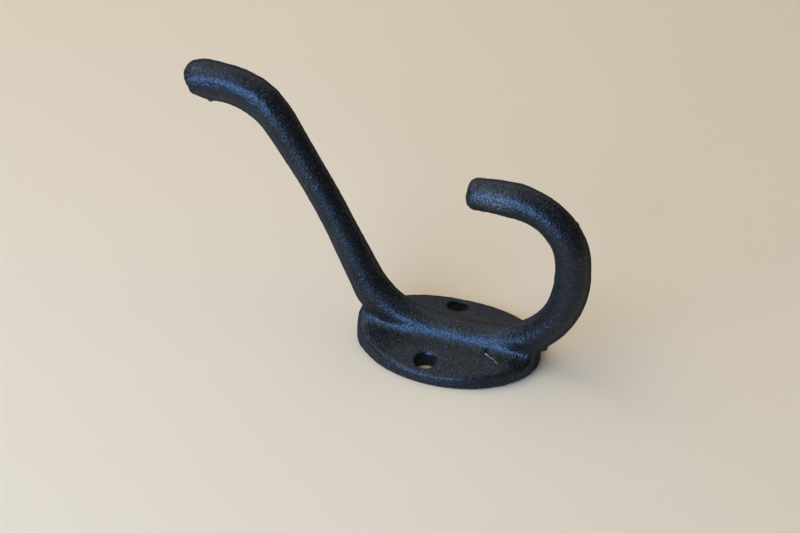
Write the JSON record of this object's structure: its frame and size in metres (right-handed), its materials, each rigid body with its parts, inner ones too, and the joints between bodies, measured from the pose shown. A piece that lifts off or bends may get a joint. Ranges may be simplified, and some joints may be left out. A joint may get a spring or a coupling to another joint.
{
  "type": "hat and coat hook",
  "caption": "Cast iron wall hook with an oval back plate, a long hat arm above and a curled coat hook below, in black paint.",
  "frame": {"origin": "centre of the oval plate's back face, on the wall", "axes": "+X across the wall and through both screw holes, +Y up the wall towards the hat arm, +Z out of the wall"},
  "size_m": [0.034, 0.1014, 0.066],
  "materials": {
    "painted_iron": "thin black paint over a fine sand-cast skin, satin"
  },
  "bodies": {
    "root": {"hook_casting": "painted_iron"}
  },
  "joints": []
}
